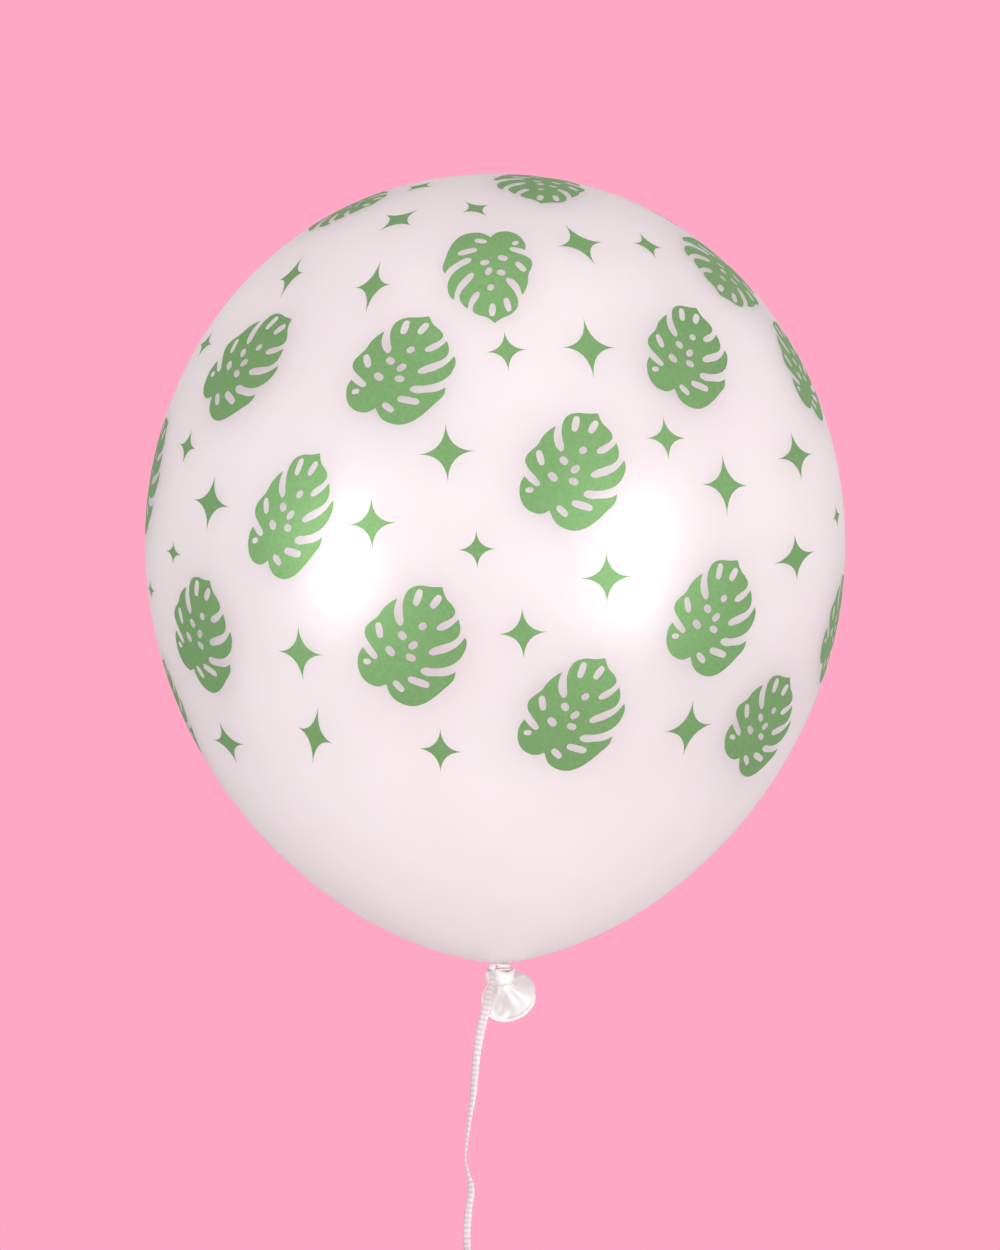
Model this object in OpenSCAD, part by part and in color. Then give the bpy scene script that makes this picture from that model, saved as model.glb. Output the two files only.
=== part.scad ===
// Latex party balloon, inflated and tied, printed all over with leaves and sparkles,
// with a crimped curling ribbon tied round its neck.
// The origin is the middle of the neck where the ribbon is tied, +Z runs up to the crown
// and the printed front faces -Y. The ribbon's spare length hangs below as a tied coil.

/* [Skin] */
// Width of the inflated skin at its widest place
skin_w = 300; // [240:5:340]
// Height of the crown above the widest place
crown_h = 158; // [130:1:190]
// Height of the taper from the widest place down to the neck
taper_h = 180; // [150:1:220]
// Fullness of the crown, where 1 is an ellipse and less is squarer
crown_power = 0.97; // [0.9:0.01:1]
// Fullness of the taper, where 1 is an ellipse and more is more pointed
taper_power = 1.2; // [1:0.05:1.5]
// Wall of the skin
skin_wall = 0.2; // [0.15:0.05:0.4]

/* [Neck and knot] */
// Height of the skin's lowest ring above the ribbon tie
neck_h = 2; // [1.8:0.1:4]
// Radius where the skin gathers into the neck
gather_r = 9; // [7:0.5:12]
// Radius of the bunched neck under the ribbon
neck_r = 3.5; // [2.5:0.1:3.5]
// Radius of the bunched latex that is wrapped into the knot
knot_cord_r = 3; // [2.5:0.1:3.1]
// Radius of the wrap's middle line
knot_wrap_r = 3.3; // [3:0.1:3.4]
// Depth of the knot's middle below the ribbon tie
knot_drop = 4.8; // [4.8:0.1:6]

/* [Mouth] */
// Radius of the rolled lip's outer edge
lip_r = 11.8; // [9:0.1:14]
// Thickness of the rolled lip
lip_bead = 1.4; // [1:0.1:2.4]
// Distance from the knot's middle to the middle of the lip
mouth_reach = 15.6; // [14:0.2:22]
// Wall of the loose latex below the knot
mouth_wall = 0.6; // [0.4:0.1:0.8]
// Angle of the tail to the right of straight back
mouth_yaw = 18; // [-20:1:20]
// Angle of the tail below level
mouth_droop = 31; // [20:1:45]

/* [Print] */
// Height of the ink film above the skin
ink_proud = 0.25; // [0.15:0.05:0.4]
// Depth of the ink film into the skin
ink_sunk = 0.1; // [0.05:0.05:0.15]
// Size of the leaves, where 1 is about 48 mm from notch to tip
leaf_scale = 1; // [0.8:0.01:1.1]
// Size of the sparkles, where 1 is 11 to 37 mm across
sparkle_scale = 1; // [0.8:0.01:1.1]

/* [Ribbon] */
// Width of the flat ribbon
ribbon_w = 4.8; // [4:0.1:5]
// Thickness of the ribbon over its crimps
ribbon_t = 0.5; // [0.3:0.1:0.6]
// Inside radius of the ribbon's loop round the neck
loop_r = 3.8; // [3.8:0.1:4.2]
// Thickness of the ribbon's loop
loop_t = 0.8; // [0.6:0.1:1]
// Height of the bunched loop
loop_h = 2.4; // [1.6:0.2:2.4]
// Radius of the ribbon's own small knot
ribbon_knot_r = 1.6; // [1:0.1:1.6]
// Angle of the ribbon's knot round the neck
ribbon_knot_a = 240; // [225:5:255]
// Radius of the coil's outermost turn
coil_r = 34; // [30:1:36]
// Spacing of the coil's turns
turn_pitch = 1.85; // [1.8:0.05:2.2]
// Number of turns in the coil
coil_turns = 8.1; // [6:0.1:9]
// Width of the tie that holds the coil
tie_w = 5; // [3:0.5:8]

/* [Hidden] */

skin_r = skin_w / 2;
equator_z = neck_h + taper_h;
skin_step = 3;
gather_angle = acos(pow(gather_r / skin_r, 1 / taper_power));
knot_ball_r = knot_wrap_r + knot_cord_r + 0.05;
knot_gap = 0.3;
fine = 96;

// Leaf outline from its notch, [right, up], counter-clockwise, about the leaf's middle
leaf_mid = 21.5;
leaf_outline = [
    [0, 0], [4.6, -3.5], [9.3, -3.7], [14.2, -2.4], [18, 0.9], [20.8, 5.9], [22.8, 12.2],
    [24.4, 17.2], [22.5, 29.2], [19.7, 35], [15.8, 37.2], [13.1, 39.9], [7.2, 43.6], [0, 47.6],
    [-7.6, 43.6], [-11.2, 39.1], [-13.9, 33.5], [-17.2, 27], [-19.8, 15.8], [-18, 9],
    [-16, 2], [-13.8, -1.3], [-10.1, -3.7], [-6.5, -4.1]
];

// Where the leaves are printed: [angle round from the front, angle up, turn to the right,
// stretch across, stretch along], because the print stretches with the skin as it fills
front_leaves = [
    [-17.8, 28.7, 22, 1.03, 1.01], [-14.6, -13.5, 33.5, 1, 1.06],
    [13, 11.7, 29, 0.98, 1.02], [13.8, -23.8, 29, 0.98, 1.02], [-36, 5, 28.5, 0.87, 1.1],
    [-60.5, -11.6, 36, 1.06, 0.99], [-54.6, 30.1, 41.5, 1.01, 1.07],
    [39.6, 30.9, 36, 0.92, 1.05], [0, 46.7, 178.5, 0.86, 1.09],
    [39.1, -10.1, 27, 1.04, 0.98], [59.6, -25.8, 25, 1.27, 0.85]
];
side_leaves = [
    [34, 75, 215, 0.86, 1.01], [-75, 66.5, 80, 0.9, 0.75], [71.5, 45.9, 248, 1.01, 1.03],
    [79, 28.1, 23, 0.98, 0.93], [-86, 12, 35.5, 1.03, 1.01], [84, -11.7, 32, 1, 0.92],
    [-87.5, -22, 30, 0.8, 0.85], [108, 62, 60, 0.9, 0.9]
];

// Where the sparkles are printed: [angle round from the front, angle up, width, height, turn]
front_sparkles = [
    [-55.5, 46.5, 15.5, 31, -18.5], [-28, 44, 17.5, 34, -6], [-32.5, 61, 22, 23, 28.5],
    [-6, 64.5, 14, 20.5, -35], [-8, 14, 25.5, 27.5, -3.5], [2.5, 31, 18.5, 21.5, -4],
    [18.5, 31.5, 25, 32, 1], [24.5, 53.5, 23.5, 31, -7.5], [46.5, 53, 16.5, 21.5, 14],
    [30.5, 16, 21, 20.5, 0.5], [41.5, 8.5, 27, 28.5, 1.5], [62, 13, 35, 23, -4],
    [59, -2.5, 37, 21.5, -9], [18.5, -5, 24.5, 23.5, -2], [4.5, -12.5, 22, 24, -2.5],
    [38.5, -26.5, 27.5, 28, -8], [-3, -1, 17.5, 17.5, -1.5], [-20.5, 3, 23, 23.5, -2],
    [-35.5, -15, 25, 26, 5], [-36.5, -27, 18.5, 32, 25.5], [-11, -29.5, 20.5, 22.5, 6],
    [-63, -28, 29.5, 22, 5], [-54.5, 6.5, 28.5, 25.5, 7.5], [-66.5, -1, 17.5, 11, 8],
    [-65, 15.5, 18.5, 17.5, 7.5]
];
side_sparkles = [
    [77.5, 3.5, 16.5, 12, -10], [-77, 33, 24, 15, 0], [-50, 75, 17.5, 18, 0],
    [-82, -6, 22, 10, 4.5]
];

// The ribbon's route from its knot down to the top of the coil
ribbon_route = [
    [-3.6, -6.3, -2], [-3.7, -7.4, -7], [-5.2, -8, -14], [-6.8, -8, -21], [-9, -8, -30],
    [-10.8, -8, -42], [-11.9, -8, -54], [-13.7, -8, -65], [-15, -8, -75], [-15.5, -8, -82],
    [-14.6, -8, -88], [-13.2, -8, -95], [-14.4, -8, -104], [-15.3, -8, -113],
    [-14.9, -8, -122], [-14.1, -8, -129], [-13.5, -8, -136], [-12.9, -8, -140],
    [-10.9, -8, -143.6], [-8, -8, -146.2], [-4.7, -8, -147.6]
];
// Turn of the ribbon's width about its length at each point of the route, 0 along X
ribbon_turns = [
    35, 38, 40, 40, 41, 50, 57, 68, 76, 84, 75, 56, 50, 48, 56, 72, 88, 90, 90, 90, 90
];
coil_middle = [-13.5, -8, -180.5];
coil_inner_r = coil_r - coil_turns * turn_pitch;

// Radius and height of the skin at an angle up from its widest place, moved outwards by lift
function skin_radius(up, lift) =
    (skin_r + lift) * pow(max(cos(up), 0), up >= 0 ? crown_power : taper_power);
function skin_height(up, lift) =
    equator_z + ((up >= 0 ? crown_h : taper_h) + lift) * sin(up);
function skin_point(round, up, lift) = [
    skin_radius(up, lift) * sin(round), -skin_radius(up, lift) * cos(round),
    skin_height(up, lift)
];
function unit(v) = v / norm(v);

// Place of a flat motif's point on the skin, for a motif printed at [round, up] and turned
function wrap(flat, lift) =
    let (stretch = flat.z >= 0 ? crown_h : taper_h)
    skin_point(
        atan2(flat.x, -flat.y),
        atan2(flat.z / stretch, norm([flat.x, flat.y]) / skin_r),
        lift
    );
function printed(point, round, up, turn, lift) =
    let (
        stretch = up >= 0 ? crown_h : taper_h,
        middle = [
            skin_r * cos(up) * sin(round), -skin_r * cos(up) * cos(round), stretch * sin(up)
        ],
        right = [cos(round), sin(round), 0],
        above = unit([
            -skin_r * sin(up) * sin(round), skin_r * sin(up) * cos(round), stretch * cos(up)
        ]),
        across = point.x * cos(turn) + point.y * sin(turn),
        along = point.y * cos(turn) - point.x * sin(turn)
    )
    wrap(middle + across * right + along * above, lift);

// A film of ink that follows the skin, over an outline drawn about its own middle
module film(outline, round, up, turn) {
    rings = [0.5, 1];
    n = len(outline);
    flat = [[0, 0], for (k = rings) for (p = outline) k * p];
    m = len(flat);
    last = 1 + n * (len(rings) - 1);
    points = [
        for (lift = [ink_proud, -ink_sunk]) for (p = flat) printed(p, round, up, turn, lift)
    ];
    fan = [for (i = [0:n - 1]) [0, 1 + (i + 1) % n, 1 + i]];
    strips = [
        for (k = [0:len(rings) - 2]) for (i = [0:n - 1])
            let (a = 1 + k * n + i, b = 1 + k * n + (i + 1) % n)
            each [[a, b, b + n], [a, b + n, a + n]]
    ];
    top = concat(fan, strips);
    under = [for (f = top) [f[2] + m, f[1] + m, f[0] + m]];
    edge = [
        for (i = [0:n - 1])
            let (a = last + i, b = last + (i + 1) % n)
            each [[a, b, b + m], [a, b + m, a + m]]
    ];
    polyhedron(points, concat(top, under, edge));
}

module leaf(place, round_by) {
    outline = [
        for (p = leaf_outline) leaf_scale * [place[3] * p.x, place[4] * (p.y - leaf_mid)]
    ];
    film(outline, place[0] + round_by, place[1], place[2]);
}

module sparkle(place, round_by) {
    wide = sparkle_scale * place[2] / 2;
    tall = sparkle_scale * place[3] / 2;
    waist = 0.27;
    outline = [
        [wide, 0], [waist * wide, waist * tall], [0, tall], [-waist * wide, waist * tall],
        [-wide, 0], [-waist * wide, -waist * tall], [0, -tall], [waist * wide, -waist * tall]
    ];
    film(outline, place[0] + round_by, place[1], place[4]);
}

// The inflated skin, a hollow shell from the crown down to where it gathers
module envelope() {
    angles = [for (i = [0:floor((90 + gather_angle) / skin_step)]) 90 - i * skin_step];
    outer = [for (a = angles) [skin_radius(a, 0), skin_height(a, 0)]];
    inner = [for (a = angles) [skin_radius(a, -skin_wall), skin_height(a, -skin_wall)]];
    bottom = [for (s = [0, -skin_wall]) [skin_radius(-gather_angle, s), skin_height(-gather_angle, s)]];
    back = [for (i = [len(inner) - 1:-1:0]) inner[i]];
    color("#fdf2f4") rotate_extrude($fn = fine) polygon(concat(outer, bottom, back));
}

// The skin gathered into a bunched neck, which closes before the knot
module neck() {
    low = -gather_angle;
    outside = [
        [skin_radius(low, 0), skin_height(low, 0)], [neck_r + 3, neck_h + 0.55],
        [neck_r + 1.4, neck_h + 0.3], [neck_r + 0.4, neck_h - 0.1], [neck_r, neck_h - 0.6],
        [neck_r, -knot_drop / 2]
    ];
    inside = [
        [0, -knot_drop / 2], [0, -neck_h / 2], [1.6, neck_h / 2], [neck_r - 0.6, neck_h],
        [neck_r + 1, neck_h + 0.9],
        [skin_radius(low, -skin_wall), skin_height(low, -skin_wall)]
    ];
    color("#efe3e2") rotate_extrude($fn = fine) polygon(concat(outside, inside));
}

// The overhand wrap of the neck round itself
module knot() {
    color("#f3e9e6")
        translate([0, 0, -knot_drop])
            rotate_extrude($fn = fine) translate([knot_wrap_r, 0]) circle(knot_cord_r, $fn = 48);
}

// Turns +Z along the loose tail and moves to the knot's middle
module along_mouth() {
    translate([0, 0, -knot_drop]) rotate([0, 90 + mouth_droop, 90 - mouth_yaw]) children();
}

// The loose end of the neck below the knot, flared by its lip
module neck_tail() {
    rim = lip_r - lip_bead / 2;
    outside = [[0, 4], [2.6, 4], [3, 7.4], [4.6, 9.6], [7.6, 12], [rim, mouth_reach]];
    inside = [for (i = [5:-1:3]) outside[i] + [-mouth_wall, mouth_wall / 2]];
    color("#f1e5e2") difference() {
        along_mouth() rotate_extrude($fn = fine) polygon(concat(outside, inside, [[0, 9]]));
        translate([0, 0, -knot_drop]) sphere(knot_ball_r + knot_gap, $fn = fine);
    }
}

// The bead of latex rolled at the mouth
module rolled_lip() {
    color("#eee2d2")
        along_mouth() translate([0, 0, mouth_reach])
            rotate_extrude($fn = fine)
                translate([lip_r - lip_bead / 2, 0]) circle(lip_bead / 2, $fn = 24);
}

module leaf_prints_front() {
    color("#8eb77f") for (p = front_leaves) leaf(p, 0);
}

module leaf_prints_back() {
    color("#8eb77f") for (p = front_leaves) leaf(p, 180);
}

module leaf_prints_sides() {
    color("#8eb77f") for (p = side_leaves) leaf(p, 0);
}

module sparkle_prints_front() {
    color("#8eb77f") for (p = front_sparkles) sparkle(p, 0);
}

module sparkle_prints_back() {
    color("#8eb77f") for (p = front_sparkles) sparkle(p, 180);
}

module sparkle_prints_sides() {
    color("#8eb77f") for (p = side_sparkles) sparkle(p, 0);
}

// The ribbon's bunched loop round the neck
module ribbon_loop() {
    color("#efe4e6") difference() {
        cylinder(r = loop_r + loop_t, h = loop_h, center = true, $fn = fine);
        cylinder(r = loop_r, h = loop_h + 1, center = true, $fn = fine);
    }
}

// The ribbon's own small knot against the loop
module ribbon_knot() {
    color("#efe4e6")
        rotate([0, 0, ribbon_knot_a])
            translate([loop_r + loop_t + 0.75 * ribbon_knot_r, 0, 0]) sphere(ribbon_knot_r, $fn = 48);
}

// Eight-sided section of the flat ribbon, widest across its middle
ribbon_section = [
    for (s = [[1, 0.5], [0.9, 1], [-0.9, 1], [-1, 0.5], [-1, -0.5], [-0.9, -1], [0.9, -1], [1, -0.5]])
        [s.x * ribbon_w / 2, s.y * ribbon_t / 2]
];

// Direction of the route at one of its points
function heading(i) =
    unit(ribbon_route[min(i + 1, len(ribbon_route) - 1)] - ribbon_route[max(i - 1, 0)]);

// The hanging ribbon, swept along its route with its own turn at each point
module ribbon_drop() {
    n = len(ribbon_section);
    count = len(ribbon_route);
    rings = [
        for (i = [0:count - 1])
            let (
                along = heading(i),
                side = unit(cross(along, [0, 1, 0])),
                back = cross(side, along),
                across = cos(ribbon_turns[i]) * side - sin(ribbon_turns[i]) * back,
                out = cross(across, along)
            )
            [for (s = ribbon_section) ribbon_route[i] + s.x * across + s.y * out]
    ];
    points = [for (r = rings) each r];
    walls = [
        for (i = [0:count - 2]) for (j = [0:n - 1])
            let (a = i * n + j, b = i * n + (j + 1) % n)
            each [[a, b, b + n], [a, b + n, a + n]]
    ];
    start = [for (j = [n - 1:-1:0]) j];
    finish = [for (j = [0:n - 1]) (count - 1) * n + j];
    color("#f3e9ec") polyhedron(points, concat([start, finish], walls));
}

// The spare ribbon, wound into a flat coil that hangs on edge
module ribbon_coil() {
    color("#f3e9ec")
        translate(coil_middle) rotate([90, 0, 0])
            rotate_extrude($fn = fine)
                translate([coil_inner_r, -ribbon_w / 2])
                    square([coil_r + ribbon_t - coil_inner_r, ribbon_w]);
}

// The band that holds the coil's turns together at its top
module coil_tie() {
    gap = 0.2;
    band_t = 0.6;
    tall = coil_r + ribbon_t - coil_inner_r + 2 * gap;
    deep = ribbon_w + 2 * gap;
    middle = (coil_r + ribbon_t + coil_inner_r) / 2;
    color("#efe4e6")
        translate(coil_middle) rotate([0, 15, 0]) translate([0, 0, middle]) difference() {
            cube([tie_w, deep + 2 * band_t, tall + 2 * band_t], center = true);
            cube([tie_w + 1, deep, tall], center = true);
        }
}

envelope();
neck();
knot();
neck_tail();
rolled_lip();
leaf_prints_front();
leaf_prints_back();
leaf_prints_sides();
sparkle_prints_front();
sparkle_prints_back();
sparkle_prints_sides();
ribbon_loop();
ribbon_knot();
ribbon_drop();
ribbon_coil();
coil_tie();
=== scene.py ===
"""An inflated party balloon of dip-moulded pearl latex, printed all over with leaves and
sparkles, with its neck tied in a knot and a crimped curling ribbon tied round the neck."""
import math

import bmesh
import bpy
from mathutils import Matrix, Vector


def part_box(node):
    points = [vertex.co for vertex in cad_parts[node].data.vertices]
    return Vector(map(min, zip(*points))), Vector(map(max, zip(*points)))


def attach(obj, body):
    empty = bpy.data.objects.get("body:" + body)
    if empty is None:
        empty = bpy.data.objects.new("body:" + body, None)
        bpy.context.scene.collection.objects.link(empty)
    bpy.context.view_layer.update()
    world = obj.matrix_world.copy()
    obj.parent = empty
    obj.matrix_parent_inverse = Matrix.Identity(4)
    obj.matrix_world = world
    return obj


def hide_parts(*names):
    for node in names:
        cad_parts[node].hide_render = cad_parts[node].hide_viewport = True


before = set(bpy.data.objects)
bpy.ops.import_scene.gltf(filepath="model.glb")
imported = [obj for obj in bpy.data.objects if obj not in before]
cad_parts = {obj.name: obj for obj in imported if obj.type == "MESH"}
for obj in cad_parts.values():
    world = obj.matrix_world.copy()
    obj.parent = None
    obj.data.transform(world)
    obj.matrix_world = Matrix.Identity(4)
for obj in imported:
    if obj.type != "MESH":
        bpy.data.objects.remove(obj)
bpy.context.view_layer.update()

MM = 0.001


# ---------------------------------------------------------------- sizes of the balloon

def box_middle(node):
    """The middle of a CAD node's box."""
    low, high = (Vector(corner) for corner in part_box(node))
    return (low + high) / 2


SKIN_R = 150 * MM
CROWN_H = 158 * MM
TAPER_H = 180 * MM
CROWN_POWER = 0.97
TAPER_POWER = 1.2
EQUATOR_Z = Vector(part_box("envelope")[1]).z - CROWN_H
GATHER_R = 9 * MM

knot_middle = box_middle("knot")
lip_middle = box_middle("rolled_lip")
mouth_axis = (lip_middle - knot_middle).normalized()
MOUTH_REACH = (lip_middle - knot_middle).length
LIP_R = 12.4 * MM
LIP_BEAD = 1.4 * MM
KNOT_RING_R = 3.3 * MM
KNOT_STRAND_R = 3 * MM
KNOT_CORE_R = 4.2 * MM

RIBBON_W = 4.8 * MM
RIBBON_T = 0.12 * MM
RIBBON_LENGTH = 1.5
COIL_R = 34 * MM
COIL_TURNS = 8.1
TURN_PITCH = 1.85 * MM
CRIMP_PITCH = 2.2 * MM
CRIMP_DEPTH = 0.06 * MM
COLLAR_R = 4.25 * MM
coil_middle = box_middle("ribbon_coil")


# ---------------------------------------------------------------- small helpers

def linear(hex_colour):
    """An sRGB hex colour as the linear RGBA that Blender's shaders take."""
    parts = [int(hex_colour[i:i + 2], 16) / 255 for i in (1, 3, 5)]
    return (*[c / 12.92 if c <= 0.04045 else ((c + 0.055) / 1.055) ** 2.4 for c in parts], 1)


def add(tree, kind, settings=None, **links):
    """A node with its settings, and with its inputs linked or set; __ in a name is a space."""
    node = tree.nodes.new(kind)
    for name, value in (settings or {}).items():
        setattr(node, name, value)
    for name, value in links.items():
        socket = node.inputs[int(name[1:]) if name[1:].isdigit() else name.replace("__", " ")]
        if isinstance(value, bpy.types.NodeSocket):
            tree.links.new(value, socket)
        else:
            socket.default_value = value
    return node


def new_material(name):
    """An empty material with its output, and its node tree."""
    material = bpy.data.materials.new(name)
    material.use_nodes = True
    material.node_tree.nodes.clear()
    return material, material.node_tree


def finish_material(tree, shader):
    """The shader joined to the material's output."""
    output = tree.nodes.new("ShaderNodeOutputMaterial")
    tree.links.new(shader.outputs["BSDF"], output.inputs["Surface"])


def make_piece(name, bm, material, body, nodes):
    """The mesh as a finished object that rides on its body and stands for its CAD nodes."""
    mesh = bpy.data.meshes.new(name)
    bm.to_mesh(mesh)
    bm.free()
    for face in mesh.polygons:
        face.use_smooth = True
    piece = bpy.data.objects.new(name, mesh)
    bpy.context.scene.collection.objects.link(piece)
    mesh.materials.append(material)
    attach(piece, body)
    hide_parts(*nodes)
    return piece


def spin_profile(bm, profile, steps):
    """Turns an open profile of points right round the Z axis and closes its poles."""
    verts = [bm.verts.new(p) for p in profile]
    edges = [bm.edges.new(pair) for pair in zip(verts, verts[1:])]
    bmesh.ops.spin(
        bm, geom=verts + edges, cent=(0, 0, 0), axis=(0, 0, 1), dvec=(0, 0, 0),
        angle=2 * math.pi, steps=steps, use_merge=True, use_duplicate=False,
    )
    bmesh.ops.remove_doubles(bm, verts=bm.verts, dist=0.002 * MM)
    bmesh.ops.recalc_face_normals(bm, faces=bm.faces)


def smooth_step(low, high, x):
    """Eases from 0 at low to 1 at high."""
    t = min(max((x - low) / (high - low), 0), 1)
    return t * t * (3 - 2 * t)


# ---------------------------------------------------------------- the ribbon's route

# Points in mm from the ribbon's knot down to the top of the coil, and the turn of the
# ribbon's width about its length at each of them, 0 along X
RIBBON_ROUTE = [
    (-3.6, -6.3, -2), (-3.7, -7.4, -7), (-5.2, -8, -14), (-6.8, -8, -21), (-9, -8, -30),
    (-10.8, -8, -42), (-11.9, -8, -54), (-13.7, -8, -65), (-15, -8, -75), (-15.5, -8, -82),
    (-14.6, -8, -88), (-13.2, -8, -95), (-14.4, -8, -104), (-15.3, -8, -113),
    (-14.9, -8, -122), (-14.1, -8, -129), (-13.5, -8, -136), (-12.9, -8, -140),
    (-10.9, -8, -143.6), (-8, -8, -146.2), (-4.7, -8, -147.6),
]
RIBBON_TURNS = [
    35, 38, 40, 40, 41, 50, 57, 68, 76, 84, 75, 56, 50, 48, 56, 72, 88, 90, 90, 90, 90,
]
MERGE_ANGLE = math.radians(75)
RING_STEP = 0.44 * MM


def curve_through(points, values, step):
    """Places along a smooth curve through the points, with the values eased the same way."""
    places = []
    for i in range(len(points) - 1):
        around = [max(i - 1, 0), i, i + 1, min(i + 2, len(points) - 1)]
        a, b, c, d = (Vector(points[k]) for k in around)
        p, q, r, s = (values[k] for k in around)
        count = max(2, round((c - b).length / step))
        for k in range(count):
            t = k / count
            weights = (
                (-t ** 3 + 2 * t ** 2 - t) / 2, (3 * t ** 3 - 5 * t ** 2 + 2) / 2,
                (-3 * t ** 3 + 4 * t ** 2 + t) / 2, (t ** 3 - t ** 2) / 2,
            )
            spot = a * weights[0] + b * weights[1] + c * weights[2] + d * weights[3]
            value = sum(w * v for w, v in zip(weights, (p, q, r, s)))
            places.append((spot, value))
    return places


def ribbon_path():
    """Every ring of the ribbon as (place, turn of its width in radians), coil and all."""
    route = [Vector(p) * MM for p in RIBBON_ROUTE]
    turns = [math.radians(t) for t in RIBBON_TURNS]
    places = curve_through(route, turns, RING_STEP)
    left = RIBBON_LENGTH - sum(
        (b[0] - a[0]).length for a, b in zip(places, places[1:])
    )
    angle = 0
    while left > 0:
        radius = COIL_R - TURN_PITCH * angle / (2 * math.pi)
        spot = coil_middle + radius * Vector(
            (math.cos(MERGE_ANGLE - angle), 0, math.sin(MERGE_ANGLE - angle))
        )
        places.append((spot, math.pi / 2))
        angle += RING_STEP / radius
        left -= RING_STEP
    return places


# ---------------------------------------------------------------- materials

def pearl_latex(name, colour, crease_depth, glow):
    """Natural rubber latex, dip-moulded with pearl pigment and stretched tight: a satin skin
    with a broad soft highlight, faint clouding where it has stretched thinner, and a fine
    grain that breaks up the gloss. The pearl's flakes raise the highlight, so the IOR is above
    plain rubber's 1.52, and light scattering under the surface gives the thin skin its glow."""
    material, tree = new_material(name)
    place = add(tree, "ShaderNodeTexCoord").outputs["Object"]
    clouds = add(tree, "ShaderNodeTexNoise", Vector=place, Scale=1 / (60 * MM), Detail=2.0,
                 Roughness=0.4)
    ramp = add(tree, "ShaderNodeValToRGB", Fac=clouds.outputs["Fac"])
    ramp.color_ramp.elements[0].position = 0.3
    ramp.color_ramp.elements[0].color = linear(colour[0])
    ramp.color_ramp.elements[1].position = 0.7
    ramp.color_ramp.elements[1].color = linear(colour[1])
    grain = add(tree, "ShaderNodeTexNoise", Vector=place, Scale=1 / (1.2 * MM), Detail=3.0,
                Roughness=0.6)
    gloss = add(tree, "ShaderNodeMapRange", Value=grain.outputs["Fac"], To__Min=0.31,
                To__Max=0.39)
    bump = add(tree, "ShaderNodeBump", Strength=0.12, Distance=crease_depth,
               Height=grain.outputs["Fac"])
    shader = add(
        tree, "ShaderNodeBsdfPrincipled", Base__Color=ramp.outputs["Color"],
        Roughness=gloss.outputs["Result"], Normal=bump.outputs["Normal"], IOR=1.9,
        Subsurface__Weight=1.0, Subsurface__Radius=(1, 1, 1), Subsurface__Scale=glow,
        Sheen__Weight=0.12, Sheen__Roughness=0.5, Sheen__Tint=linear("#FFF0F4"),
    )
    finish_material(tree, shader)
    return material


def printed_ink():
    """Elastic screen-printing ink, pulled thin as the latex stretched: a flat leaf green with a
    slightly paler mottle. The metallic share stands in for the pearl skin that shows through
    the thin film, and gives the green a faint lustre of its own colour."""
    material, tree = new_material("screen printed elastic green ink")
    place = add(tree, "ShaderNodeTexCoord").outputs["Object"]
    mottle = add(tree, "ShaderNodeTexNoise", Vector=place, Scale=1 / (1.6 * MM), Detail=4.0,
                 Roughness=0.65)
    ramp = add(tree, "ShaderNodeValToRGB", Fac=mottle.outputs["Fac"])
    ramp.color_ramp.elements[0].position = 0.3
    ramp.color_ramp.elements[0].color = linear("#76A868")
    ramp.color_ramp.elements[1].position = 0.72
    ramp.color_ramp.elements[1].color = linear("#86B577")
    gloss = add(tree, "ShaderNodeMapRange", Value=mottle.outputs["Fac"], To__Min=0.48,
                To__Max=0.56)
    bump = add(tree, "ShaderNodeBump", Strength=0.15, Distance=0.04 * MM,
               Height=mottle.outputs["Fac"])
    shader = add(
        tree, "ShaderNodeBsdfPrincipled", Base__Color=ramp.outputs["Color"],
        Roughness=gloss.outputs["Result"], Normal=bump.outputs["Normal"], IOR=1.5,
        Metallic=0.45,
    )
    finish_material(tree, shader)
    return material


def crimped_ribbon():
    """Slit polypropylene curling ribbon, crimped between rollers: a pale pearly film with painted
    highlight and shade in stripes across it, where its cross ridges catch the light, and with fine
    lines drawn along its length."""
    material, tree = new_material("crimped polypropylene curling ribbon")
    across = add(tree, "ShaderNodeUVMap", {"uv_map": "ribbon"}).outputs["UV"]
    parts = add(tree, "ShaderNodeSeparateXYZ", Vector=across)
    # Painted highlight and shade: stripes across the film at the crimp pitch, light on the ridges
    # and dark in the troughs. The phase offset gives the light stripe where the UV is zero, so the
    # collar and the ribbon's tie knot, which carry no ribbon UV, are painted all in the highlight
    # colour.
    painted_crimp_light_stripes = add(tree, "ShaderNodeTexWave", {"wave_type": "BANDS", "bands_direction": "Y"},
                Vector=across, Scale=math.pi / 10 / (CRIMP_PITCH / MM), Distortion=1.2,
                Detail=1.0, Phase__Offset=math.pi)
    ramp = add(tree, "ShaderNodeValToRGB", Fac=painted_crimp_light_stripes.outputs["Fac"])
    # About the film's own pale pink, the darker stop is the painted shade of the troughs and the
    # lighter stop the painted highlight of the ridges.
    ramp.color_ramp.elements[0].color = linear("#DACDD3")
    ramp.color_ramp.elements[1].color = linear("#F2E7EC")
    lines = add(tree, "ShaderNodeTexNoise", {"noise_dimensions": "1D"},
                W=parts.outputs["X"], Scale=6.0, Detail=2.0)
    bump = add(tree, "ShaderNodeBump", Strength=0.25, Distance=0.05 * MM,
               Height=lines.outputs["Fac"])
    shader = add(
        tree, "ShaderNodeBsdfPrincipled", Base__Color=ramp.outputs["Color"],
        Roughness=0.4, Normal=bump.outputs["Normal"], IOR=1.49,
    )
    finish_material(tree, shader)
    return material


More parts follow.
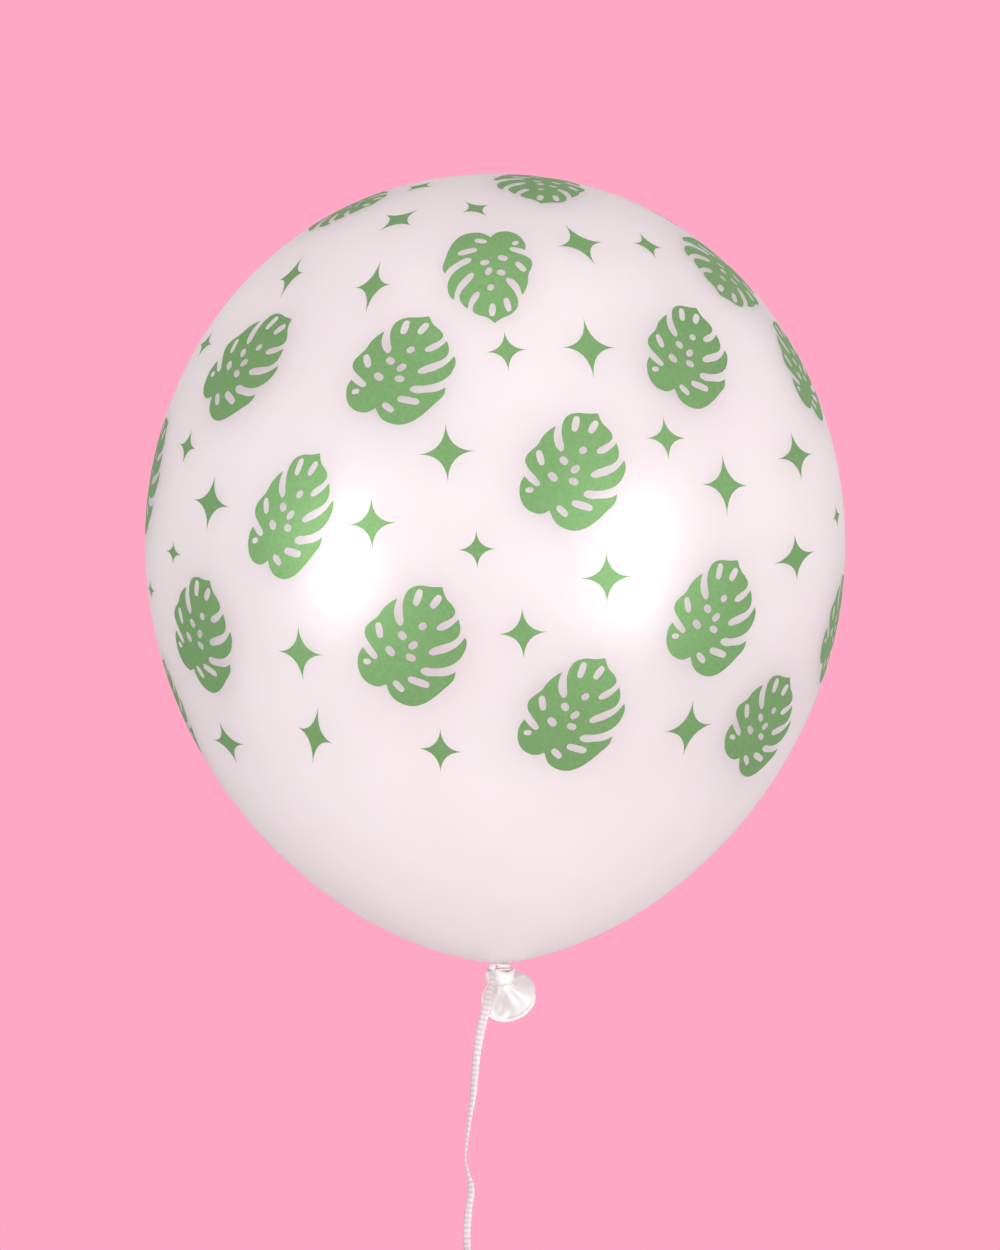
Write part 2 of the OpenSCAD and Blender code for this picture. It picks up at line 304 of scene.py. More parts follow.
skin_latex = pearl_latex("dip moulded pearl latex", ("#FAEBEE", "#FDF0F2"), 0.03 * MM, 150 * MM)
creased_latex = pearl_latex("gathered pearl latex", ("#FAF0EE", "#FDF5F4"), 0.12 * MM, 3 * MM)
lip_latex = pearl_latex("rolled latex bead", ("#F6EDDF", "#FBF5EA"), 0.06 * MM, 1 * MM)
green_ink = printed_ink()
ribbon_film = crimped_ribbon()


# ---------------------------------------------------------------- camera

VIEW_DISTANCE = 20
VIEW_HEIGHT = 535.7 * MM
SENSOR_HEIGHT = 24
CAMERA_X = 1.7 * MM
CAMERA_Z = 146.6 * MM
CAMERA_TIP = 0.57


def add_camera():
    """A long lens, level with the middle of the balloon's front and a touch off plumb."""
    data = bpy.data.cameras.new("camera")
    data.sensor_fit = "VERTICAL"
    data.sensor_height = SENSOR_HEIGHT
    data.lens = SENSOR_HEIGHT * VIEW_DISTANCE / VIEW_HEIGHT
    data.clip_end = 60
    camera = bpy.data.objects.new("camera", data)
    camera.location = (CAMERA_X, -VIEW_DISTANCE, CAMERA_Z)
    camera.rotation_euler = (math.radians(90), math.radians(CAMERA_TIP), 0)
    bpy.context.scene.collection.objects.link(camera)
    bpy.context.scene.camera = camera


add_camera()


# ---------------------------------------------------------------- the ribbon

ACROSS = (-1, -0.5, 0, 0.5, 1)
PLEATED_SHARE = 0.42
PLEATED_UNTIL = 6 * MM
FLAT_FROM = 17 * MM
RIBBON_CUP = 0.5 * MM
RIDGE_DEPTH = 0.18


def crimp_at(travelled):
    """How far the crimping lifts the film at a distance along it."""
    return CRIMP_DEPTH * math.cos(2 * math.pi * travelled / CRIMP_PITCH)


def ribbon_ring(places, i, travelled):
    """Five points across the ribbon at one place along it."""
    spot, turn = places[i]
    ahead = places[min(i + 1, len(places) - 1)][0]
    behind = places[max(i - 1, 0)][0]
    along = (ahead - behind).normalized()
    side = along.cross(Vector((0, 1, 0))).normalized()
    back = side.cross(along)
    across = math.cos(turn) * side - math.sin(turn) * back
    out = across.cross(along)
    opened = smooth_step(PLEATED_UNTIL, FLAT_FROM, travelled)
    spread = PLEATED_SHARE + (1 - PLEATED_SHARE) * opened
    pleat = RIBBON_W / 4 * math.sqrt(1 - spread ** 2)
    crimp = crimp_at(travelled)
    cup = RIBBON_CUP * smooth_step(FLAT_FROM, 40 * MM, travelled) \
        * (1 - smooth_step(110 * MM, 135 * MM, travelled))
    return [
        spot + across * x * spread * RIBBON_W / 2
        + out * (crimp + (pleat if abs(x) == 0.5 else 0) + cup * (x * x - 0.5))
        for x in ACROSS
    ]


def strip_of_film(rings, distances):
    """Ribbon film through rings of points across it, with distances along it as its UV in mm."""
    bm = bmesh.new()
    bmesh.ops.create_grid(bm, x_segments=len(ACROSS) - 1, y_segments=len(rings) - 1, size=1)
    uv = bm.loops.layers.uv.new("ribbon")
    rows = [[] for _ in rings]
    for vert in bm.verts:
        rows[round((vert.co.y + 1) / 2 * (len(rings) - 1))].append(vert)
    on_film = {}
    for row, ring, travelled in zip(rows, rings, distances):
        row.sort(key=lambda vert: vert.co.x)
        for vert, spot, x in zip(row, ring, ACROSS):
            vert.co = spot
            on_film[vert] = (x * RIBBON_W / 2 / MM, travelled / MM)
    for face in bm.faces:
        for loop in face.loops:
            loop[uv].uv = on_film[loop.vert]
    bm.normal_update()
    bmesh.ops.solidify(bm, geom=list(bm.faces), thickness=RIBBON_T)
    return bm


def distances_along(spots):
    """How far along the line each of its points is."""
    distances = [0]
    for behind, here in zip(spots, spots[1:]):
        distances.append(distances[-1] + (here - behind).length)
    return distances


def hanging_ribbon():
    """The one long ribbon: pleated at its knot, twisting as it hangs, its spare length coiled."""
    places = ribbon_path()
    distances = distances_along([spot for spot, turn in places])
    rings = [ribbon_ring(places, i, travelled) for i, travelled in enumerate(distances)]
    ribbon = make_piece(
        "hanging_ribbon", strip_of_film(rings, distances), ribbon_film, "ribbon",
        ["ribbon_drop", "ribbon_coil"],
    )
    return ribbon, [tuple(spot) for spot, turn in places]


def flat_band(name, body, node, path, width_axis):
    """A short length of the same ribbon that follows a closed path, its width along an axis."""
    spots = path + path[:1]
    distances = distances_along(spots)
    rings = []
    for i, (here, travelled) in enumerate(zip(spots, distances)):
        along = (path[(i + 1) % len(path)] - here).normalized()
        middle = width_axis.cross(along) * crimp_at(travelled)
        rings.append([here + width_axis * x * RIBBON_W / 2 + middle for x in ACROSS])
    bm = strip_of_film(rings, distances)
    return make_piece(name, bm, ribbon_film, body, [node])


def rounded_rectangle(middle, right, up, wide, tall, corner, step):
    """Points round a rectangle with rounded corners, in the plane of right and up."""
    points = []
    for quarter in range(4):
        sign = [(1, 1), (-1, 1), (-1, -1), (1, -1)][quarter]
        centre = middle + right * sign[0] * (wide / 2 - corner) + up * sign[1] * (tall / 2 - corner)
        for k in range(step + 1):
            angle = math.pi / 2 * (quarter + k / step)
            points.append(centre + corner * (math.cos(angle) * right + math.sin(angle) * up))
    return points


def coil_band():
    """The ribbon band that keeps the coil's turns together at its top."""
    radial = Vector((math.cos(MERGE_ANGLE), 0, math.sin(MERGE_ANGLE)))
    tangent = Vector((math.sin(MERGE_ANGLE), 0, -math.cos(MERGE_ANGLE)))
    inner_r = COIL_R - COIL_TURNS * TURN_PITCH
    middle = coil_middle + radial * (COIL_R + inner_r) / 2
    path = rounded_rectangle(
        middle, Vector((0, 1, 0)), radial, RIBBON_W + 1.2 * MM, COIL_R - inner_r + 1.6 * MM,
        0.7 * MM, 4,
    )
    return flat_band("coil_band", "ribbon", "coil_tie", path, tangent)


def bunched_strand(bm, path, radius, sides=10, ridges=3):
    """A bunched strand of ribbon swept round a closed path, with ridges running along it."""
    rings = []
    for i, spot in enumerate(path):
        along = (path[(i + 1) % len(path)] - path[i - 1]).normalized()
        side = along.cross(Vector((0, 0, 1)))
        side = side.normalized() if side.length > 0.05 else Vector((1, 0, 0))
        turned = Matrix((side, along.cross(side), along)).transposed().to_4x4()
        ring = bmesh.ops.create_circle(
            bm, segments=sides, radius=radius, cap_ends=False,
            matrix=Matrix.Translation(spot) @ turned,
        )["verts"]
        for k, vert in enumerate(ring):
            swell = 1 + RIDGE_DEPTH * math.cos(ridges * 2 * math.pi * k / sides + 0.15 * i)
            vert.co = spot + (vert.co - spot) * swell
        rings.append(list({edge for vert in ring for edge in vert.link_edges}))
    for first, second in zip(rings, rings[1:] + rings[:1]):
        bmesh.ops.bridge_loops(bm, edges=first + second)


def ribbon_collar():
    """Three bunched turns of ribbon round the neck."""
    bm = bmesh.new()
    for lift, wobble in ((-0.75, 0.0), (0.0, 2.1), (0.75, 4.2)):
        path = [
            Vector((
                math.cos(a) * (COLLAR_R + 0.12 * MM * math.sin(2 * a + wobble)),
                math.sin(a) * (COLLAR_R + 0.12 * MM * math.sin(2 * a + wobble)),
                (lift + 0.25 * math.sin(a + wobble)) * MM,
            ))
            for a in (2 * math.pi * k / 48 for k in range(48))
        ]
        bunched_strand(bm, path, 0.42 * MM)
    bmesh.ops.recalc_face_normals(bm, faces=bm.faces)
    return make_piece("ribbon_collar", bm, ribbon_film, "ribbon_collar", ["ribbon_loop"])


def ribbon_tie_knot():
    """The ribbon's own overhand knot, three small crossing loops of the bunched strand."""
    middle = box_middle("ribbon_knot")
    outward = Vector((middle.x, middle.y, 0)).normalized()
    up = Vector((0, 0, 1))
    side = up.cross(outward)
    bm = bmesh.new()
    loops = (
        (side, up, 1.05, 0.65, 0.15), (up, outward, 0.95, 0.7, -0.2), (side, outward, 0.8, 0.8, 0.3),
    )
    for right, over, wide, tall, lift in loops:
        path = [
            middle + (math.cos(a) * wide * right + math.sin(a) * tall * over + lift * up) * MM
            for a in (2 * math.pi * k / 20 for k in range(20))
        ]
        bunched_strand(bm, path, 0.5 * MM, sides=8, ridges=2)
    bmesh.ops.recalc_face_normals(bm, faces=bm.faces)
    return make_piece("ribbon_tie_knot", bm, ribbon_film, "ribbon_collar", ["ribbon_knot"])


ribbon, ribbon_line = hanging_ribbon()
band = coil_band()
collar = ribbon_collar()
tie_knot = ribbon_tie_knot()


# ---------------------------------------------------------------- the skin

def skin_radius(up, lift=0.0):
    """Radius of the skin at an angle up from its widest place, moved outwards by lift."""
    power = CROWN_POWER if up >= 0 else TAPER_POWER
    return (SKIN_R + lift) * max(math.cos(up), 0) ** power


def skin_height(up, lift=0.0):
    """Height of the skin at an angle up from its widest place, moved outwards by lift."""
    return EQUATOR_Z + ((CROWN_H if up >= 0 else TAPER_H) + lift) * math.sin(up)


GATHER_ANGLE = math.acos((GATHER_R / SKIN_R) ** (1 / TAPER_POWER))
SKIN_ROWS = 118
SKIN_STEPS = 192


def latex_skin():
    """The inflated envelope and its neck in one moulding, gathered where it is tied."""
    angles = [
        math.pi / 2 - (math.pi / 2 + GATHER_ANGLE) * k / SKIN_ROWS for k in range(SKIN_ROWS + 1)
    ]
    profile = [(skin_radius(a), 0, skin_height(a)) for a in angles]
    neck = [
        (7.6, 2.68), (6.4, 2.52), (5.4, 2.4), (4.7, 2.2), (4.2, 1.9), (3.8, 1.4), (3.6, 0.6),
        (3.5, -0.4), (3.5, -1.4), (3.4, -2.4), (2.2, -3), (0, -3),
    ]
    profile += [(r * MM, 0, z * MM) for r, z in neck]
    bm = bmesh.new()
    spin_profile(bm, profile, SKIN_STEPS)
    for vert in bm.verts:
        radius = math.hypot(vert.co.x, vert.co.y)
        if radius < 1e-6 or vert.co.z > 12 * MM:
            continue
        around = math.atan2(vert.co.y, vert.co.x)
        fade = 1 - smooth_step(4.5 * MM, 17 * MM, radius)
        fold = math.cos(13 * around + 0.8 * math.sin(3 * around)) + 0.5 * math.cos(21 * around + 1)
        vert.co.z += 0.16 * MM * fold * fade
        squeeze = 1 + 0.035 * fold * fade
        vert.co.x *= squeeze
        vert.co.y *= squeeze
    return make_piece("latex_skin", bm, skin_latex, "balloon", ["envelope", "neck"])


latex_skin()


# ---------------------------------------------------------------- the print

# Outline of the leaf in mm from its notch, clockwise, [right, up], with True at sharp points
LEAF_EDGE = [
    (0, 0, True), (-2.6, -2.9, False), (-6.5, -4.1, False), (-10.1, -3.7, False),
    (-13.8, -1.3, False), (-16, 2, False), (-16.9, 4.9, False), (-16.7, 8.1, True),
    (-12.5, 6.8, False), (-9.2, 7.0, False), (-9.0, 8.3, False), (-11.6, 9.8, False),
    (-14.6, 11, False), (-18.5, 13.1, False), (-19.8, 15.8, False), (-19, 19.3, False),
    (-17.6, 22.7, False), (-17.2, 27, False), (-15.9, 30.8, False), (-14.2, 33.8, True),
    (-13, 29.4, False), (-10.9, 26.4, False), (-8.6, 24.9, False), (-7, 24.8, False),
    (-6.5, 26.2, False), (-9, 30, False), (-11.2, 33.7, False), (-12, 37.5, False),
    (-11.4, 40.4, False), (-8.6, 43.3, False), (-3.6, 45.6, False), (0, 47.8, True),
    (3.8, 44.8, False), (8.3, 43.3, False), (10.4, 41.7, False), (10.4, 39.2, False),
    (8.3, 35.9, False), (7, 33.6, False), (7.1, 31.8, False), (8.5, 31.8, False),
    (10.9, 34.1, False), (12.6, 37.8, False), (13.2, 40, True), (15.8, 37.2, False),
    (16.8, 34.4, False), (16.3, 31.8, False), (13, 27.8, False), (9.6, 23.8, False),
    (9.1, 21.9, False), (10.2, 21.2, False), (13.5, 23.3, False), (17.2, 27.4, False),
    (18.9, 31, False), (19.7, 35, True), (21.5, 33, False), (22.5, 29.2, False),
    (22, 24.8, False), (19, 20.3, False), (14.5, 17, False), (10.4, 14.7, False),
    (10.1, 13.1, False), (11.4, 12.4, False), (17.6, 14.9, False), (21.6, 17.6, False),
    (23.6, 20.3, True), (24.5, 17, False), (23, 11.8, False), (20.7, 5.6, False),
    (18, 0.9, False), (14.2, -2.4, False), (9.3, -3.8, False), (4.4, -3.2, False),
]
# Windows in the leaf in mm: [right, up, length, width, turn of the length to the right]
LEAF_WINDOWS = [
    (11.8, 8.5, 9.8, 2.8, 78), (5.1, 2.3, 6.2, 2.6, 104), (-12, 3.8, 3.6, 2.3, 60),
    (-14, 18.3, 6.8, 2.7, 138), (-5.4, 13.4, 4.9, 3.1, 104), (-4.2, 21.8, 4.2, 3.2, 104),
    (1.9, 20.8, 4.5, 2.9, 28), (3.6, 15.8, 4.5, 2.8, 81), (1.3, 29.7, 3.7, 3, 35),
    (-6.7, 38.7, 7.2, 2.8, -14), (0.9, 41.2, 6.5, 2.9, 6),
]
LEAF_MIDDLE = 21.5
SPARKLE_POWER = 3.9
INK_LIFT = 0.09 * MM

# Where the motifs are printed: leaves as [angle round from the front, angle up, turn to the
# right, stretch across, stretch along], sparkles with a width and a height in mm before the turn
FRONT_LEAVES = [
    (-17.8, 28.7, 22, 1.03, 1.01), (-14.6, -13.5, 33.5, 1, 1.06),
    (13, 11.7, 29, 0.98, 1.02), (13.8, -23.8, 29, 0.98, 1.02), (-36, 5, 28.5, 0.87, 1.1),
    (-60.5, -11.6, 36, 1.06, 0.99), (-54.6, 30.1, 41.5, 1.01, 1.07),
    (39.6, 30.9, 36, 0.92, 1.05), (0, 46.7, 178.5, 0.86, 1.09),
    (39.1, -10.1, 27, 1.04, 0.98), (59.6, -25.8, 25, 1.27, 0.85),
]
SIDE_LEAVES = [
    (34, 75, 215, 0.86, 1.01), (-75, 66.5, 80, 0.9, 0.75), (71.5, 45.9, 248, 1.01, 1.03),
    (79, 28.1, 23, 0.98, 0.93), (-86, 12, 35.5, 1.03, 1.01), (84, -11.7, 32, 1, 0.92),
    (-87.5, -22, 30, 0.8, 0.85), (108, 62, 60, 0.9, 0.9),
]
FRONT_SPARKLES = [
    (-55.5, 46.5, 15.5, 31, -18.5), (-28, 44, 17.5, 34, -6), (-32.5, 61, 22, 23, 28.5),
    (-6, 64.5, 14, 20.5, -35), (-8, 14, 25.5, 27.5, -3.5), (2.5, 31, 18.5, 21.5, -4),
    (18.5, 31.5, 25, 32, 1), (24.5, 53.5, 23.5, 31, -7.5), (46.5, 53, 16.5, 21.5, 14),
    (30.5, 16, 21, 20.5, 0.5), (41.5, 8.5, 27, 28.5, 1.5), (62, 13, 35, 23, -4),
    (59, -2.5, 37, 21.5, -9), (18.5, -5, 24.5, 23.5, -2), (4.5, -12.5, 22, 24, -2.5),
    (38.5, -26.5, 27.5, 28, -8), (-3, -1, 17.5, 17.5, -1.5), (-20.5, 3, 23, 23.5, -2),
    (-35.5, -15, 25, 26, 5), (-36.5, -27, 18.5, 32, 25.5), (-11, -29.5, 20.5, 22.5, 6),
    (-63, -28, 29.5, 22, 5), (-54.5, 6.5, 28.5, 25.5, 7.5), (-66.5, -1, 17.5, 11, 8),
    (-65, 15.5, 18.5, 17.5, 7.5),
]
SIDE_SPARKLES = [
    (77.5, 3.5, 16.5, 12, -10), (-77, 33, 24, 15, 0), (-50, 75, 17.5, 18, 0),
    (-82, -6, 22, 10, 4.5),
]


def on_skin(flat, lift):
    """A point near the skin, moved along its line from the middle on to the skin."""
    up = math.atan2(
        flat.z / (CROWN_H if flat.z >= 0 else TAPER_H), math.hypot(flat.x, flat.y) / SKIN_R
    )
    around = math.atan2(flat.y, flat.x)
    radius = skin_radius(up, lift)
    return Vector((radius * math.cos(around), radius * math.sin(around), skin_height(up, lift)))


def print_place(around, up, turn):
    """The matrix that sets a flat motif against the skin at a place, turned to the right."""
    around, up, turn = (math.radians(a) for a in (around, up, turn))
    stretch = CROWN_H if up >= 0 else TAPER_H
    around -= math.pi / 2
    middle = Vector((
        SKIN_R * math.cos(up) * math.cos(around), SKIN_R * math.cos(up) * math.sin(around),
        stretch * math.sin(up),
    ))
    right = Vector((-math.sin(around), math.cos(around), 0))
    above = Vector((
        -SKIN_R * math.sin(up) * math.cos(around), -SKIN_R * math.sin(up) * math.sin(around),
        stretch * math.cos(up),
    )).normalized()
    across = math.cos(turn) * right - math.sin(turn) * above
    along = math.sin(turn) * right + math.cos(turn) * above
    place = Matrix((across, along, across.cross(along))).transposed().to_4x4()
    place.translation = middle
    return place


def add_spline(curve, points):
    """A closed smooth outline in mm, with a corner at each point marked sharp."""
    spline = curve.splines.new("BEZIER")
    spline.bezier_points.add(len(points) - 1)
    for knot, (x, y, sharp) in zip(spline.bezier_points, points):
        knot.co = (x, y, 0)
        knot.handle_left_type = knot.handle_right_type = "VECTOR" if sharp else "AUTO"
    spline.use_cyclic_u = True
    spline.resolution_u = 4


def leaf_motif():
    """The flat leaf as a filled mesh in mm about its own middle, cut fine enough to wrap."""
    curve = bpy.data.curves.new("leaf outline", "CURVE")
    curve.dimensions = "2D"
    curve.fill_mode = "BOTH"
    add_spline(curve, [(x, y - LEAF_MIDDLE, sharp) for x, y, sharp in LEAF_EDGE])
    for x, y, length, width, turn in LEAF_WINDOWS:
        lean = math.radians(turn)
        ring = []
        for k in range(12):
            a = math.pi / 6 * (k + 0.5)
            straight = math.copysign((length - width) / 2, math.sin(a))
            across, along = width / 2 * math.cos(a), width / 2 * math.sin(a) + straight
            ring.append((
                x + across * math.cos(lean) + along * math.sin(lean),
                y - LEAF_MIDDLE - across * math.sin(lean) + along * math.cos(lean), False,
            ))
        add_spline(curve, ring)
    holder = bpy.data.objects.new("leaf outline", curve)
    bpy.context.scene.collection.objects.link(holder)
    bpy.context.view_layer.update()
    drawn = holder.evaluated_get(bpy.context.evaluated_depsgraph_get())
    mesh = bpy.data.meshes.new_from_object(drawn)
    bpy.data.objects.remove(holder)
    bpy.data.curves.remove(curve)
    return cut_for_wrapping(mesh)


def sparkle_motif():
    """The flat four-pointed sparkle, one unit across, with hollow sides."""
    bm = bmesh.new()
    outline = []
    for k in range(48):
        a = 2 * math.pi * k / 48
        c, s = math.cos(a), math.sin(a)
        outline.append(bm.verts.new((
            math.copysign(abs(c) ** SPARKLE_POWER, c) / 2,
            math.copysign(abs(s) ** SPARKLE_POWER, s) / 2, 0,
        )))
    bmesh.ops.triangle_fill(bm, use_beauty=True, edges=[
        bm.edges.new((outline[k - 1], outline[k])) for k in range(48)
    ])
    mesh = bpy.data.meshes.new("sparkle")
    bm.to_mesh(mesh)
    bm.free()
    return mesh


def cut_for_wrapping(mesh):
    """The flat mesh cut every 3 mm both ways, with its faces turned to +Z."""
    bm = bmesh.new()
    bm.from_mesh(mesh)
    for step in range(-9, 10):
        for normal in ((1, 0, 0), (0, 1, 0)):
            bmesh.ops.bisect_plane(
                bm, geom=bm.verts[:] + bm.edges[:] + bm.faces[:], dist=0.001,
                plane_co=Vector(normal) * 3 * step, plane_no=normal,
            )
    bmesh.ops.triangulate(bm, faces=bm.faces)
    for face in bm.faces:
        if face.normal.z < 0:
            face.normal_flip()
    bm.to_mesh(mesh)
    bm.free()
    return mesh


def print_group(name, motif, places, node):
    """One motif printed at every place, each a surface of ink just above the skin."""
    bm = bmesh.new()
    for around, up, turn, wide, tall in places:
        start = len(bm.verts)
        bm.from_mesh(motif)
        bm.verts.ensure_lookup_table()
        place = print_place(around, up, turn)
        for vert in bm.verts[start:]:
            flat = place @ Vector((vert.co.x * wide * MM, vert.co.y * tall * MM, 0))
            vert.co = on_skin(flat, INK_LIFT)
    bmesh.ops.recalc_face_normals(bm, faces=bm.faces)
    for face in bm.faces:
        middle = face.calc_center_median() - Vector((0, 0, EQUATOR_Z))
        if face.normal.dot(middle) < 0:
            face.normal_flip()
    return make_piece(name, bm, green_ink, "balloon", [node])


def half_round(places):
    """The same places on the other side of the balloon."""
    return [(around + 180, *rest) for around, *rest in places]


def print_all():
    """The six groups of prints, each a piece of its own."""
    leaf, sparkle = leaf_motif(), sparkle_motif()
    leaves = {"front": FRONT_LEAVES, "back": half_round(FRONT_LEAVES), "sides": SIDE_LEAVES}
    for side, places in leaves.items():
        print_group("leaves_" + side, leaf, places, "leaf_prints_" + side)
    sparkles = {
        "front": FRONT_SPARKLES, "back": half_round(FRONT_SPARKLES), "sides": SIDE_SPARKLES,
    }
    for side, places in sparkles.items():
        turned_last = [(around, up, turn, wide, tall) for around, up, wide, tall, turn in places]
        print_group("sparkles_" + side, sparkle, turned_last, "sparkle_prints_" + side)


print_all()


# ---------------------------------------------------------------- the knot and the mouth

def tied_knot():
    """The neck's overhand knot: one fat wrinkled wrap, tipped a little, round its core."""
    bm = bmesh.new()
    section = [
        Vector((KNOT_RING_R + KNOT_STRAND_R * math.cos(a), 0, KNOT_STRAND_R * math.sin(a)))
        for a in (2 * math.pi * k / 60 for k in range(61))
    ]
    spin_profile(bm, section, 120)
    for vert in bm.verts:
        around = math.atan2(vert.co.y, vert.co.x)
        outward = Vector((math.cos(around), math.sin(around), 0))
        spoke = vert.co - outward * KNOT_RING_R
        angle = math.atan2(spoke.z, spoke.dot(outward))
        crease = 0.05 * math.cos(6 * angle + 2.5 * math.sin(around + 0.5)) \
            + 0.035 * math.cos(11 * angle - 3 * around) + 0.04 * math.sin(2 * around + 1) \
            + 0.05 * math.cos(4 * angle + 5 * around)
        tip = 0.7 * MM * math.sin(around - 0.35)
        shoulder = smooth_step(0, 0.6, angle) * (1 - smooth_step(0.7, 1, angle))
        right_side = smooth_step(0.8, 1, math.cos(around - 0.25))
        lap = Vector((0, 0, (2.2 + 0.4 * math.sin(3 * around + 0.4)) * MM)) \
            + outward * 1.1 * MM * right_side
        vert.co = outward * KNOT_RING_R + spoke * (0.88 + 0.7 * crease) \
            + Vector((0, 0, tip)) + lap * shoulder
    core = bmesh.ops.create_uvsphere(bm, u_segments=32, v_segments=20, radius=KNOT_CORE_R)["verts"]
    bmesh.ops.scale(bm, vec=(1, 1, 0.78), verts=core)
    bmesh.ops.translate(bm, vec=knot_middle, verts=bm.verts)
    bmesh.ops.recalc_face_normals(bm, faces=bm.faces)
    return make_piece("tied_knot", bm, creased_latex, "balloon", ["knot"])


def mouth_fold(around, reach):
    """How the loose latex folds: outward share and lift along the tail, fading to the rim."""
    root = 1 - smooth_step(7 * MM, MOUTH_REACH, reach)
    slope = smooth_step(4 * MM, 8 * MM, reach) * (1 - smooth_step(12 * MM, MOUTH_REACH, reach))
    crease = max(math.cos(around - 1.43), 0) ** 8
    wave = 0.5 * math.cos(around + 0.7) + 0.35 * math.cos(5 * around + 1.2) \
        + 0.15 * math.cos(9 * around) - 1.6 * crease
    upper_side = smooth_step(0.2, 0.9, math.cos(around + 1.3))
    puffed = smooth_step(11 * MM, 14 * MM, reach) * (1 - smooth_step(14.6 * MM, 15.5 * MM, reach))
    tucked = smooth_step(14.6 * MM, 15.5 * MM, reach)
    share = 1 + 0.1 * wave * root + upper_side * (0.14 * puffed - 0.1 * tucked)
    return share, -(0.15 + 0.8 * slope) * wave * MM


def set_along_mouth(bm, reach=None):
    """Folds a shape turned about +Z, a bead all at one reach, and lays it along the tail."""
    for vert in bm.verts:
        share, lift = mouth_fold(math.atan2(vert.co.y, vert.co.x), reach or vert.co.z)
        vert.co = Vector((vert.co.x * share, vert.co.y * share, vert.co.z + lift))
    turn = Vector((0, 0, 1)).rotation_difference(mouth_axis).to_matrix().to_4x4()
    bmesh.ops.transform(bm, matrix=Matrix.Translation(knot_middle) @ turn, verts=bm.verts)
    bmesh.ops.recalc_face_normals(bm, faces=bm.faces)


def loose_tail():
    """The flared end of the neck that hangs out of the knot."""
    rim = (LIP_R - LIP_BEAD / 2) / MM
    reach = MOUTH_REACH / MM
    outside = [
        (0, 3.6), (2.4, 3.6), (2.7, 5.5), (3.1, 7), (3.9, 8.3), (5, 9.5), (6.4, 10.8),
        (7.9, 12.2), (8.7, 12.95), (9.4, 13.6), (10.1, 14.25), (10.7, 14.8), (11.2, 15.2),
        (rim, reach),
    ]
    inside = [(r - 0.35, z + 0.3) for r, z in outside[:3:-1]] + [(0, 8.6)]
    bm = bmesh.new()
    spin_profile(bm, [(r * MM, 0, z * MM) for r, z in outside + inside], 144)
    set_along_mouth(bm)
    return make_piece("loose_tail", bm, creased_latex, "mouth", ["neck_tail"])


def mouth_bead():
    """The lip rolled at the balloon's mouth."""
    middle_r = LIP_R - LIP_BEAD / 2
    section = [
        (middle_r + LIP_BEAD / 2 * math.cos(a), 0, MOUTH_REACH + LIP_BEAD / 2 * math.sin(a))
        for a in (2 * math.pi * k / 16 for k in range(17))
    ]
    bm = bmesh.new()
    spin_profile(bm, section, 144)
    set_along_mouth(bm, MOUTH_REACH)
    return make_piece("mouth_bead", bm, lip_latex, "mouth", ["rolled_lip"])


tied_knot()
loose_tail()
mouth_bead()


# ---------------------------------------------------------------- floor, backdrop and light

FLOOR_DROP = 1.1
FLOOR_HALF = 1.6
BACKDROP = "#FFA8C6"
BRIGHT_SIDE = (0.76, -0.46, 0.46)


def add_floor():
    """The plain pale floor far under the balloon."""
    bm = bmesh.new()
    bmesh.ops.create_grid(bm, x_segments=1, y_segments=1, size=FLOOR_HALF)
    bmesh.ops.translate(bm, vec=(0, 0, -FLOOR_DROP), verts=bm.verts)
    mesh = bpy.data.meshes.new("floor")
    bm.to_mesh(mesh)
    bm.free()
    material, tree = new_material("plain pale floor")
    shader = add(tree, "ShaderNodeBsdfPrincipled", Base__Color=linear("#E6DCDE"), Roughness=0.9)
    finish_material(tree, shader)
    mesh.materials.append(material)
    floor = bpy.data.objects.new("floor", mesh)
    bpy.context.scene.collection.objects.link(floor)


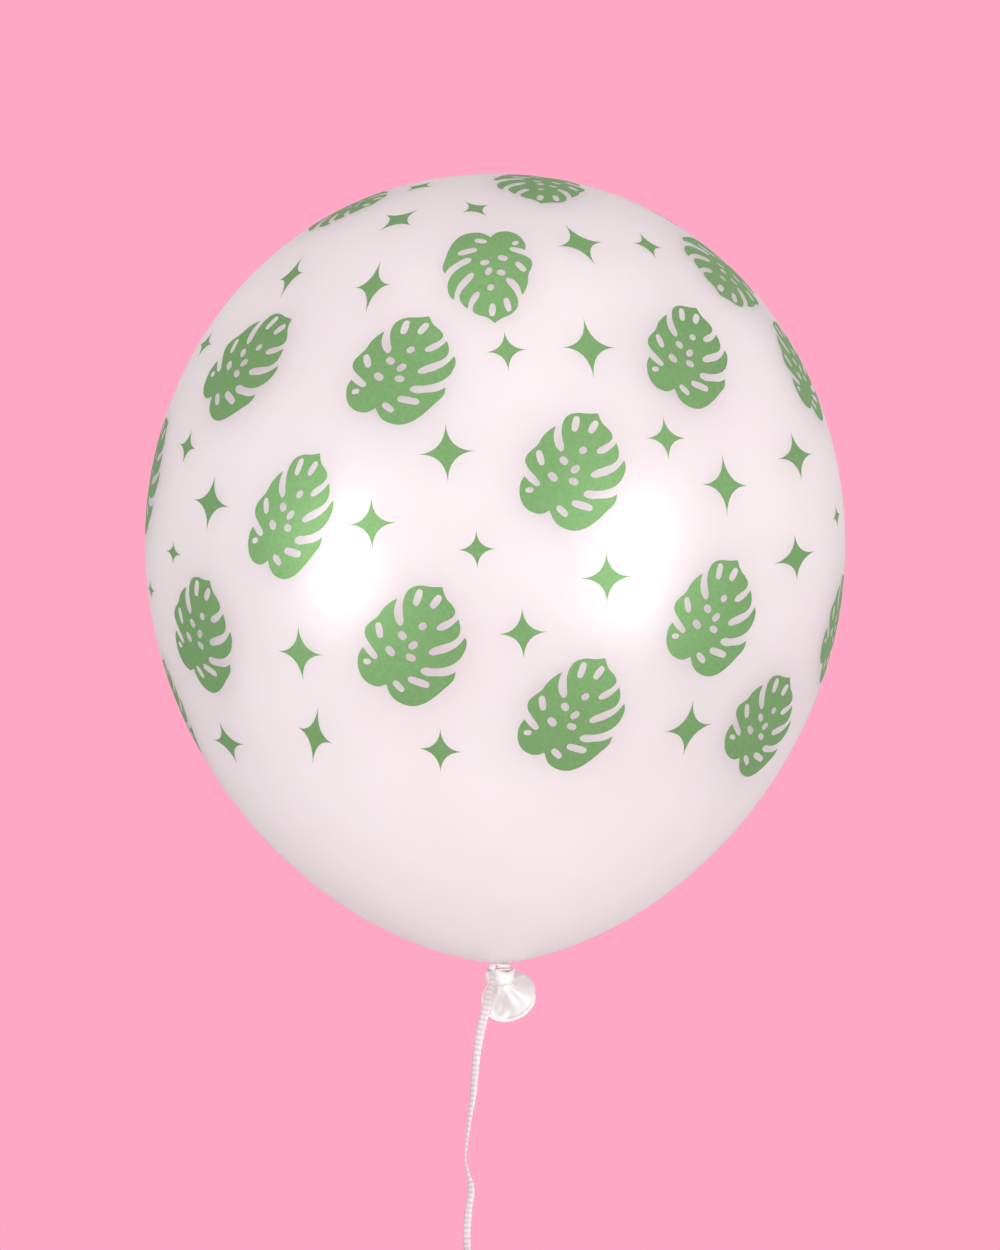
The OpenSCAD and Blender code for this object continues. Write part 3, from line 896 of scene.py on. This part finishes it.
def add_softbox(name, towards, distance, size, watts, colour, aim=EQUATOR_Z, spread=180):
    """A rectangular softbox that shines from a direction at a height on the balloon's axis,
    its light kept within spread degrees by a grid."""
    data = bpy.data.lights.new(name, "AREA")
    data.shape = "RECTANGLE"
    data.size, data.size_y = size
    data.energy = watts
    data.color = linear(colour)[:3]
    data.spread = math.radians(spread)
    light = bpy.data.objects.new(name, data)
    direction = Vector(towards).normalized()
    light.location = Vector((0, 0, aim)) + direction * distance
    light.rotation_euler = direction.to_track_quat("Z", "Y").to_euler()
    bpy.context.scene.collection.objects.link(light)


def add_world():
    """A pink backdrop to look at, and a near-white room, brighter on one side, that lights
    the balloon."""
    world = bpy.data.worlds.new("studio")
    bpy.context.scene.world = world
    world.use_nodes = True
    tree = world.node_tree
    tree.nodes.clear()
    seen = add(tree, "ShaderNodeBackground", Color=linear(BACKDROP), Strength=1.0)
    way = add(tree, "ShaderNodeTexCoord").outputs["Generated"]
    open_side = add(tree, "ShaderNodeVectorMath", {"operation": "DOT_PRODUCT"}, _0=way,
                    _1=BRIGHT_SIDE)
    level = add(tree, "ShaderNodeMapRange", Value=open_side.outputs["Value"], From__Min=-1.0,
                To__Min=0.42, To__Max=0.7)
    room = add(tree, "ShaderNodeBackground", Color=linear("#FFF4F6"),
               Strength=level.outputs["Result"])
    rays = add(tree, "ShaderNodeLightPath")
    mix = add(tree, "ShaderNodeMixShader", Fac=rays.outputs["Is Camera Ray"])
    tree.links.new(room.outputs["Background"], mix.inputs[1])
    tree.links.new(seen.outputs["Background"], mix.inputs[2])
    output = tree.nodes.new("ShaderNodeOutputWorld")
    tree.links.new(mix.outputs["Shader"], output.inputs["Surface"])


add_floor()
add_world()
add_softbox("right softbox", (0.68, -0.72, -0.06), 1.6, (0.7, 0.95), 10, "#FFFFFF")
add_softbox("left softbox", (-0.74, -0.62, -0.03), 1.6, (0.6, 0.8), 10.5, "#FFFFFF")
add_softbox("overhead", (0.0, -0.3, 1), 2.0, (1.8, 1.8), 8, "#FFF6F8")
add_softbox("low gridded spot", (0.4, -0.85, -0.3), 0.6, (0.1, 0.1), 0.015, "#FFFFFF",
            aim=-40 * MM, spread=24)
bpy.context.scene.view_settings.view_transform = "Standard"
